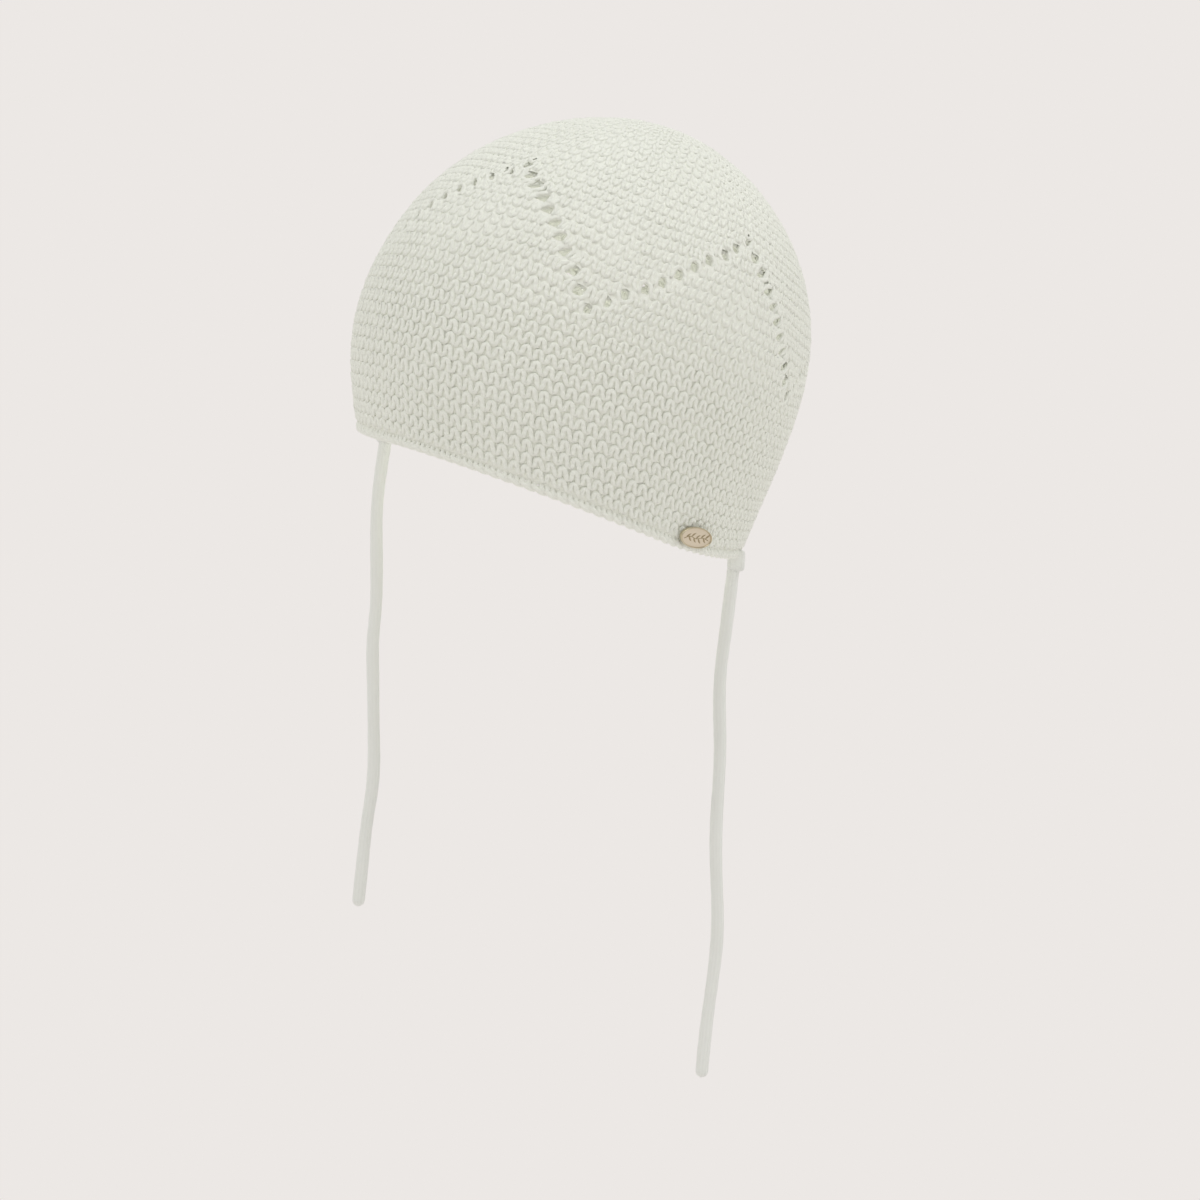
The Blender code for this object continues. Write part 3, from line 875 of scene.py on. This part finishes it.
# %% [markdown]
# ## The ties
#
# A tie is a narrow tube of jersey, soft and smooth, that hangs straight down from its tab and
# keeps a few slight waves. A cloth simulation could hang it, but it hangs still, so a curve
# gives the same with no wait. Its route is a short table: the share of its length, and how
# many diameters it stands to the side and backwards there. A smooth curve through the table
# gives the path, and a round section is carried along it, with a sewn, rounded end.

# %% The finish of jersey
JERSEY = (0.890, 0.903, 0.862, 1.0)
# darker jersey: the random clouds and fibres reach towards it, and so does the painted shade in
# the grooves between columns
JERSEY_SHADE = (0.850, 0.863, 0.815, 1.0)
ROW = 0.00080              # height of a stitch, along the tie
V_SLOPE = 1.1              # rows that a V climbs for one width of a column
TIE_WALES = 12.0           # columns of stitches round a tie
TAB_WALES = 16.0           # and round a tab

def jersey_finish(name, wales_round):
    """Fine jersey: columns of small Vs. Along a column the height is a sine of the way along
    the tie, bent into a V by the distance to the middle of the column. The colour carries
    painted shade from the same relief: darker in the grooves between columns, lighter on the Vs."""
    finish = Finish(name, Roughness=0.9, Sheen_Weight=0.45, Sheen_Roughness=0.5)
    along, round_it = uv_wires(finish)
    column = (round_it * wales_round).maths("FRACT")
    from_middle = (column - 0.5).maths("ABSOLUTE")
    stitches = ((along / ROW + from_middle * V_SLOPE) * (2.0 * math.pi)).sine()
    groove = (from_middle * 2.0).maths("POWER", 4.0)
    fibre, cloud = cloth_noises(finish, 90.0)
    # painted shade: darker in the grooves between the columns, lighter on the raised Vs
    tone_and_painted_shade = cloud * 0.6 + fibre * 0.4 + stitches * 0.1 - groove * 0.35
    finish.feed("Base Color", finish.blend(tone_and_painted_shade, JERSEY_SHADE, JERSEY))
    height = stitches * 0.35 + fibre * 0.6 - groove * 0.9
    bump = finish.add("ShaderNodeBump", 0, Height=height, Strength=0.5, Distance=0.0002)
    finish.feed("Normal", bump)
    return finish.material

jersey_look = jersey_finish("cream_jersey", TIE_WALES)
print("finish", jersey_look.name, "with", len(jersey_look.node_tree.nodes), "nodes")

# %% Sizes and routes of the ties
TIE_DIAMETER = 0.0042
TAB_HEIGHT = 0.0040
GAP = 0.0003               # between two pieces that lie against each other
WALL = 0.0036              # of the fabric
HEM_WALL = WALL * 0.60     # at its rounded hem
NEAR_TIE_TURN = 88.0
FAR_TIE_TURN = -107.2
NEAR_TIE_LENGTH = 0.1696
FAR_TIE_LENGTH = 0.1584
NEAR_TIE_ROUTE = (          # share of the length, diameters to the side, diameters backwards
    (0.00, -0.19, 0.00), (0.05, -0.31, 0.05), (0.12, -0.48, 0.10), (0.20, -0.68, 0.15),
    (0.26, -0.63, 0.18), (0.35, -0.36, 0.10), (0.43, -0.30, -0.05), (0.50, -0.29, -0.12),
    (0.56, -0.18, -0.15), (0.63, 0.08, -0.10), (0.71, 0.32, 0.00), (0.79, 0.24, 0.10),
    (0.87, 0.00, 0.12), (0.95, -0.17, 0.08), (1.00, -0.23, 0.05),
)
FAR_TIE_ROUTE = (
    (0.00, 0.00, 0.00), (0.03, -0.11, -0.02), (0.08, -0.26, -0.06), (0.12, -0.33, -0.10),
    (0.17, -0.32, -0.14), (0.23, -0.18, -0.15), (0.30, -0.01, -0.10), (0.36, 0.05, -0.02),
    (0.43, -0.02, 0.05), (0.49, 0.11, 0.12), (0.56, 0.31, 0.16), (0.62, 0.48, 0.12),
    (0.69, 0.67, 0.04), (0.75, 0.65, -0.04), (0.81, 0.45, -0.08), (0.88, 0.30, -0.08),
    (1.00, 0.10, -0.02),
)
TIE_SIDES = 20
TIE_RINGS = 260
END_LENGTH = 0.0026        # of the rounded ends
END_RINGS = 8
END_CROWDING = 1.8         # power that crowds those rings at the tip
END_POWER = 2.4            # of the end's outline: 2 is a half ellipse, higher is blunter
LEAST_END = 0.02           # share of the section that is left at the tip
TIE_SWELLS = ((0.015, 900.0), (0.03, 171.0))       # share of the width, radians in a metre

# %% The ties themselves
def tab_bottom(turn):
    """Middle of the level bottom of a tie's tab, under the hem."""
    here, _, _, out = hat_frame(turn, 0.0)
    return here - out * HEM_WALL / 2.0 - np.array((0.0, 0.0, TAB_HEIGHT))

def tie_shares(length):
    """Shares of the length for the rings: even, but close together at the rounded end."""
    even = np.linspace(0.0, 1.0 - END_LENGTH / length, TIE_RINGS - END_RINGS, endpoint=False)
    end = 1.0 - END_LENGTH / length * np.linspace(1.0, 0.0, END_RINGS) ** END_CROWDING
    return np.concatenate((even, end))

def tie_path(turn, length, route):
    """Points straight down from the tab, moved sideways by the smooth curves of the route."""
    table = np.array(route)
    share = tie_shares(length)
    sideways = smooth_curve(table[:, 0], table[:, 1], share) * TIE_DIAMETER
    backwards = smooth_curve(table[:, 0], table[:, 2], share) * TIE_DIAMETER
    down = -GAP - share * length
    return tab_bottom(turn) + np.stack((sideways, backwards, down), -1)

def knit_tie(name, turn, length, route):
    """A tube along the route, a little uneven in its width, with a rounded end."""
    path = tie_path(turn, length, route)
    radius = TIE_DIAMETER / 2.0
    left = length * (1.0 - tie_shares(length))
    tip = (1.0 - np.minimum(left / END_LENGTH, 1.0)) ** END_POWER
    rounded = np.clip(1.0 - tip, LEAST_END, 1.0) ** 0.5
    waves = 1.0 + sum(share * np.sin(left * pace) for share, pace in TIE_SWELLS)
    half = radius * rounded * waves
    out = np.broadcast_to(np.array((0.0, -1.0, 0.0)), path.shape)
    rings = carry_section(path, out, half, half, TIE_SIDES, False)
    steps = np.linalg.norm(np.diff(path, axis=0), axis=1)
    lengths = np.concatenate(([0.0], np.cumsum(steps)))
    tie = add_capped(name, rings, path[[0, -1]], lengths, jersey_look)
    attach(tie, BODY)
    return tie, path

def add_tie(name, node, turn, length, route):
    """A tie that stands for its solid, which is hidden."""
    tie, path = knit_tie(name, turn, length, route)
    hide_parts(node)

add_tie("near_jersey_tie", "near_tie", NEAR_TIE_TURN, NEAR_TIE_LENGTH, NEAR_TIE_ROUTE)
add_tie("far_jersey_tie", "far_tie", FAR_TIE_TURN, FAR_TIE_LENGTH, FAR_TIE_ROUTE)

# %% [markdown]
# ## The tabs
#
# Each tie hangs from a folded tab of the same jersey. The tab is sewn over the hem, so it
# covers a few millimetres of it outside and inside. Its form is a box with soft edges: a
# sphere whose sines and cosines are raised to a small power, which pushes it into corners.
# A box with bevelled edges could be used too, but cloth has no edge where a bevel starts.

# %% Tabs folded over the hem
TAB_DEPTH = 0.0058
TAB_WIDTH = 0.0050
TAB_UP = 0.0024            # how far it reaches up over the hem
TAB_DOWN = 0.0008          # how far it reaches down over the top of the tie
TAB_SOFTNESS = 0.42        # power of the sines: 1 is a ball and 0 a box
TAB_RINGS = 24
TAB_SIDES = 36

def soft_power(values, power):
    """A power that keeps the sign."""
    return np.sign(values) * np.abs(values) ** power

def add_tab(name, node, turn):
    """A soft box round the hem at this turn, upright and facing outwards."""
    here, _, _, out = hat_frame(turn, 0.0)
    outwards = unit(np.array((out[0], out[1], 0.0)))
    sideways = np.array((outwards[1], -outwards[0], 0.0))
    above = np.array((0.0, 0.0, 1.0))
    middle = here - out * HEM_WALL / 2.0 + above * (TAB_UP - TAB_DOWN - TAB_HEIGHT) / 2.0
    half = (TAB_UP + TAB_DOWN + TAB_HEIGHT) / 2.0
    rise = np.linspace(-math.pi / 2.0, math.pi / 2.0, TAB_RINGS + 2)[1:-1, None]
    swing = np.linspace(0.0, 2.0 * math.pi, TAB_SIDES, endpoint=False)[None, :]
    level = soft_power(np.cos(rise), TAB_SOFTNESS)
    x = level * soft_power(np.cos(swing), TAB_SOFTNESS) * TAB_DEPTH / 2.0
    y = level * soft_power(np.sin(swing), TAB_SOFTNESS) * TAB_WIDTH / 2.0
    z = soft_power(np.sin(rise), TAB_SOFTNESS) * half
    rings = middle + x[..., None] * outwards - y[..., None] * sideways + z[..., None] * above
    lengths = np.linspace(0.0, 2.0 * half, TAB_RINGS)
    tab = add_capped(name, rings, rings[[0, -1]].mean(1), lengths, tab_look)
    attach(tab, BODY)
    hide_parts(node)
    print(name, "is", round(2000 * half, 1), "mm high")

tab_look = jersey_finish("folded_jersey", TAB_WALES)
add_tab("near_folded_tab", "near_tie_tab", NEAR_TIE_TURN)
add_tab("far_folded_tab", "far_tie_tab", FAR_TIE_TURN)

# %% [markdown]
# ## The badge
#
# A small oval plate of pale gold is fixed to the hem. It is turned from one section, like a
# plate on a lathe, and stretched to an oval: a raised rim, and a sunk ground that is a little
# domed. Both are metal. The rim is the smoother one, and the ground is satin with a blush
# tone. They are two closed forms, so that each can have a finish of its own.

# %% The plate
BADGE_WIDTH = 0.0156
BADGE_HEIGHT = 0.0069
BADGE_THICKNESS = 0.0012
BADGE_TURN = 50.7          # where its middle sits on the hat
BADGE_RIDGE = 1.32
BADGE_ROLL = 3.9           # degrees, against the row of stitches
OVAL_SIDES = 96
PALE_GOLD = (0.60, 0.53, 0.38, 1.0)
BLUSH = (0.74, 0.655, 0.52, 1.0)
GRAIN_ROUGHNESS = 0.12     # how much the grain of the metal changes its roughness
RIM_SECTION = np.array((     # share of the half height from the middle, share of the thickness
    (0.05, 0.00), (0.96, 0.00), (0.99, 0.10), (1.00, 0.60), (0.99, 0.86), (0.965, 0.98),
    (0.935, 1.00), (0.905, 0.97), (0.885, 0.86), (0.88, 0.60), (0.05, 0.60),
))
GROUND_SECTION = np.array((  # the same for the ground inside the rim
    (0.05, 0.52), (0.92, 0.52), (0.92, 0.70), (0.86, 0.73), (0.74, 0.76), (0.55, 0.79),
    (0.30, 0.82), (0.05, 0.83),
))

def badge_frame():
    """Origin and axes of the badge: along it, up it and out of it."""
    turn = leaned(np.array(BADGE_TURN), np.array(BADGE_RIDGE))
    here, along, upwards, out = hat_frame(turn, BADGE_RIDGE)
    roll = math.radians(BADGE_ROLL)
    across = along * math.cos(roll) + upwards * math.sin(roll)
    return here + out * GAP, across, np.cross(out, across), out

BADGE_PLACE, BADGE_ACROSS, BADGE_UP, BADGE_OUT = badge_frame()

def on_badge(x, y, z):
    """Points of the badge's own axes, moved to its place."""
    x, y, z = np.broadcast_arrays(x, y, z)
    return (BADGE_PLACE + x[..., None] * BADGE_ACROSS + y[..., None] * BADGE_UP
            + z[..., None] * BADGE_OUT)

def turned_oval(name, section, look):
    """A section turned round the middle and stretched to an oval. The rim stays equally wide
    all round, because the oval shrinks by the same length on both axes at first."""
    angle = np.linspace(0.0, 2.0 * math.pi, OVAL_SIDES, endpoint=False)[None, :]
    share, level = section[:, 0][:, None], section[:, 1][:, None]
    small, large = BADGE_HEIGHT / 2.0, BADGE_WIDTH / 2.0
    inwards = (1.0 - share) * small
    x = (large - inwards * (1.0 + (large / small - 1.0) * (1.0 - share))) * np.cos(angle)
    y = (small - inwards) * np.sin(angle)
    rings = on_badge(x, y, level * BADGE_THICKNESS)
    lengths = np.arange(len(section)) * PLAIN_STEP
    made = add_capped(name, rings, rings[[0, -1]].mean(1), lengths, look)
    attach(made, BODY)
    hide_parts("badge")
    print(name, "has", len(made.data.vertices), "points")

def metal_finish(name, colour, roughness):
    """Metal whose fine grain shifts the roughness and stands up a little."""
    finish = Finish(name, Metallic=1.0, Base_Color=colour)
    place = finish.add("ShaderNodeTexCoord", 3)
    grain = finish.add("ShaderNodeTexNoise", 0, Vector=place, Scale=1800.0, Detail=2.0)
    finish.feed("Roughness", grain * GRAIN_ROUGHNESS + (roughness - GRAIN_ROUGHNESS / 2.0))
    bump = finish.add("ShaderNodeBump", 0, Height=grain, Strength=0.06, Distance=0.0001)
    finish.feed("Normal", bump)
    return finish.material

turned_oval("badge_rim", RIM_SECTION, metal_finish("pale_gold", PALE_GOLD, 0.30))
turned_oval("badge_ground", GROUND_SECTION, metal_finish("blush_satin", BLUSH, 0.40))

# %% [markdown]
# ## The sprig on the badge
#
# The badge carries a small raised mark. Here it is a plain sprig: one stem and leaves that
# leave it in turn to both sides. Each is a thin tube that swells and thins along a curve. A
# bump in the finish could draw it too, but real relief catches the light at its edges.

# %% The sprig
DARK_GOLD = (0.38, 0.31, 0.19, 1.0)
STEM = np.array((          # millimetres along the badge and up it
    (-6.0, -0.75), (-3.3, 0.15), (-0.4, -0.30), (2.5, 0.25), (5.9, -0.15),
)) / 1000.0
LEAF_PLACES = np.array((-5.2, -4.0, -2.8, -1.6, -0.4, 0.8, 2.0, 3.2, 4.3)) / 1000.0
LEAF_LENGTH = 0.0021
LEAF_ANGLE = 52.0          # degrees from the stem
LEAF_TIP = 0.00005         # half width of a leaf at its ends
LEAF_SWELL = 0.00032       # and how much more it has where it is widest
LEAF_WIDEST = 0.8          # power of the way along: under 1 puts that place nearer the stem
LEAF_FORWARD = 0.22        # shares of its length that a leaf bends towards the stem's tip
LEAF_DROP = 0.12           # and back towards the stem
STEM_HALF = 0.00016
STEM_POINTS = 24
STROKE_LEVEL = 0.00093     # height of the middles of the strokes above the back of the badge
STROKE_FLATNESS = 0.3      # half depth of a stroke for its half width
STROKE_LEAST = 0.00007     # and the half depth that is added to that
STROKE_POINTS = 12
STROKE_SIDES = 8

def add_stroke(name, x, y, half_width):
    """A tube along a curve on the ground of the badge, with closed ends."""
    path = on_badge(x, y, STROKE_LEVEL)
    out = np.broadcast_to(BADGE_OUT, path.shape)
    half_depth = half_width * STROKE_FLATNESS + STROKE_LEAST
    rings = carry_section(path, out, half_width, half_depth, STROKE_SIDES, False)
    lengths = np.linspace(0.0, LEAF_LENGTH, len(path))
    made = add_capped(name, rings, path[[0, -1]], lengths, sprig_look)
    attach(made, BODY)
    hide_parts("badge")

def add_sprig():
    """The stem, and leaves that start on it, slant forwards and bend towards its tip."""
    x = np.linspace(STEM[0, 0], STEM[-1, 0], STEM_POINTS)
    y = smooth_curve(STEM[:, 0], STEM[:, 1], x)
    add_stroke("sprig_stem", x, y, np.full(STEM_POINTS, STEM_HALF))
    along = np.linspace(0.0, 1.0, STROKE_POINTS)
    swell = LEAF_TIP + LEAF_SWELL * np.sin(math.pi * along**LEAF_WIDEST)
    angle = math.radians(LEAF_ANGLE)
    for number, start in enumerate(LEAF_PLACES):
        side = -1.0 if number % 2 else 1.0
        x = start + LEAF_LENGTH * (along * math.cos(angle) + LEAF_FORWARD * along**2)
        foot = smooth_curve(STEM[:, 0], STEM[:, 1], np.array([start]))[0]
        y = foot + side * LEAF_LENGTH * (along * math.sin(angle) - LEAF_DROP * along**2)
        add_stroke("sprig_leaf_%d" % (number + 1), x, y, swell)

sprig_look = metal_finish("dark_gold", DARK_GOLD, 0.35)
add_sprig()
print("a stem and", len(LEAF_PLACES), "leaves")

# %% [markdown]
# ## Light and floor
#
# The hat hangs in front of a plain, evenly lit paper that curves from floor to wall, so no
# shadow shows and the light comes softly from all round. The paper glows by itself, which
# keeps its tone even. Two wide soft lamps above, one to the right and one to the left, shape
# the crown. A weak lamp in the hollow stands for the light that comes through real knitting.

# %% The studio
PAPER = (0.840, 0.807, 0.784, 1.0)
SKY_STRENGTH = 0.60
SKY_COLOUR = (1.0, 0.995, 0.975, 1.0)
HAT_MIDDLE = Vector((0.01, 0.0, 0.04))
SOFTBOXES = (              # name, place, side of the square, power
    ("top_softbox", (0.9, -0.5, 1.6), 1.2, 8.0),
    ("left_softbox", (-0.8, -0.9, 1.7), 0.9, 7.0),
)
HOLLOW_PLACE = (0.0, 0.0, 0.05)
HOLLOW_SIZE = 0.03
HOLLOW_POWER = 0.040
FLOOR = -0.55
FLOOR_REACH = 12.0         # of the paper, to each side and towards the camera
WALL_FROM = 2.5            # behind the hat, where the paper starts to curve
WALL_BEND = 1.2            # radius of that curve
WALL_HEIGHT = 6.0

def add_lamp(name, kind, place, power):
    """A lamp of this kind at this place."""
    light = bpy.data.lights.new(name, kind)
    light.energy = power
    lamp = bpy.data.objects.new(name, light)
    lamp.location = place
    bpy.context.scene.collection.objects.link(lamp)
    return lamp

def add_softbox(name, place, size, power):
    """A square lamp that looks at the hat."""
    lamp = add_lamp(name, "AREA", place, power)
    lamp.data.size = size
    lamp.rotation_euler = (HAT_MIDDLE - Vector(place)).to_track_quat("-Z", "Y").to_euler()

def add_hollow_light():
    """A weak round lamp in the hollow, which the camera doesn't see."""
    lamp = add_lamp("hollow_light", "POINT", HOLLOW_PLACE, HOLLOW_POWER)
    lamp.data.shadow_soft_size = HOLLOW_SIZE
    lamp.visible_camera = False

def add_paper():
    """Floor and wall as one sheet: flat, then a quarter of a circle, then upright."""
    paper = Finish("pale_paper", Base_Color=(0.0, 0.0, 0.0, 1.0), Roughness=1.0,
                   Specular_IOR_Level=0.0, Emission_Color=PAPER, Emission_Strength=1.0)
    angle = np.linspace(0.0, math.pi / 2.0, 24)
    y = WALL_FROM + WALL_BEND * np.sin(angle)
    y = np.concatenate(([-FLOOR_REACH], y, [WALL_FROM + WALL_BEND]))
    z = FLOOR + np.concatenate(([0.0], WALL_BEND * (1.0 - np.cos(angle)), [WALL_HEIGHT]))
    x = np.array((-FLOOR_REACH, FLOOR_REACH))
    points = np.stack(np.broadcast_arrays(x[None, :], y[:, None], z[:, None]), -1)
    row = np.arange(len(y) - 1) * 2
    faces = np.stack((row, row + 1, row + 3, row + 2), -1)
    mesh = bpy.data.meshes.new("paper")
    mesh.from_pydata(points.reshape(-1, 3).tolist(), [], faces.tolist())
    mesh.shade_smooth()
    mesh.materials.append(paper.material)
    sheet = bpy.data.objects.new("paper", mesh)
    bpy.context.scene.collection.objects.link(sheet)

def add_sky():
    """An even, slightly warm light from every side."""
    world = bpy.data.worlds.new("soft_sky")
    world.use_nodes = True
    background = world.node_tree.nodes["Background"]
    background.inputs["Color"].default_value = SKY_COLOUR
    background.inputs["Strength"].default_value = SKY_STRENGTH
    bpy.context.scene.world = world

add_paper()
add_sky()
for softbox in SOFTBOXES:
    add_softbox(*softbox)
add_hollow_light()
bpy.context.scene.view_settings.view_transform = "Standard"
print("paper, sky,", len(SOFTBOXES), "soft boxes and the lamp in the hollow")
